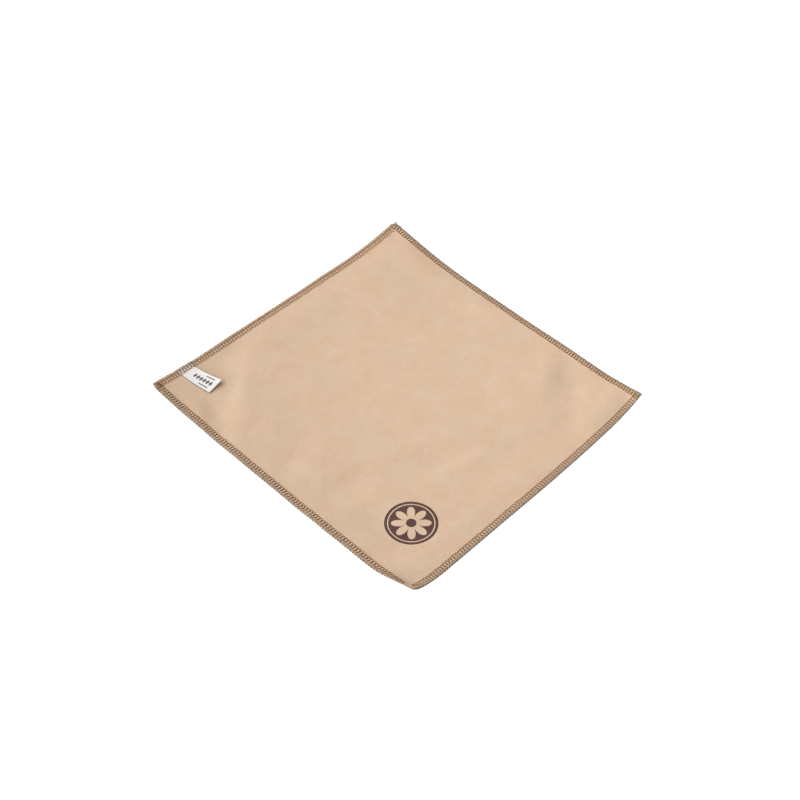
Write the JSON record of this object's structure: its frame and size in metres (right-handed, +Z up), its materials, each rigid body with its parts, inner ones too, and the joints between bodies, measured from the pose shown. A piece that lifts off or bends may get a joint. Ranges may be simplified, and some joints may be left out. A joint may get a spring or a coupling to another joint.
{
  "type": "microfiber cleaning cloth",
  "caption": "Thin square cleaning cloth lying open with curled corners, overlocked along each side, with a folded satin label that lifts.",
  "frame": {"origin": "on the surface that the cloth lies on, under the middle of its box", "axes": "+Z up, +Y along the longer sides towards the side that holds the label, +X along the shorter sides"},
  "size_m": [0.196, 0.2086, 0.0095],
  "materials": {
    "microfibre": "matte",
    "needle_thread": "matte",
    "looper_thread": "matte",
    "label_satin": "satin"
  },
  "bodies": {
    "root": {"cloth_panel": "microfibre", "rear_needle_thread": "needle_thread", "rear_upper_looper_thread": "looper_thread", "rear_lower_looper_thread": "looper_thread", "right_needle_thread": "needle_thread", "right_upper_looper_thread": "looper_thread", "right_lower_looper_thread": "looper_thread", "front_needle_thread": "needle_thread", "front_upper_looper_thread": "looper_thread", "front_lower_looper_thread": "looper_thread", "left_needle_thread": "needle_thread", "left_upper_looper_thread": "looper_thread", "left_lower_looper_thread": "looper_thread", "label_tail": "label_satin"},
    "label": {"label_flap": "label_satin"}
  },
  "joints": [
    {"name": "label_bend", "type": "hinge", "parent": "root", "child": "label", "pos_m": [-0.07394, 0.09885, 0.00226], "axis": [-0.9987, 0, 0.0514], "range_deg": [0, 120]}
  ]
}
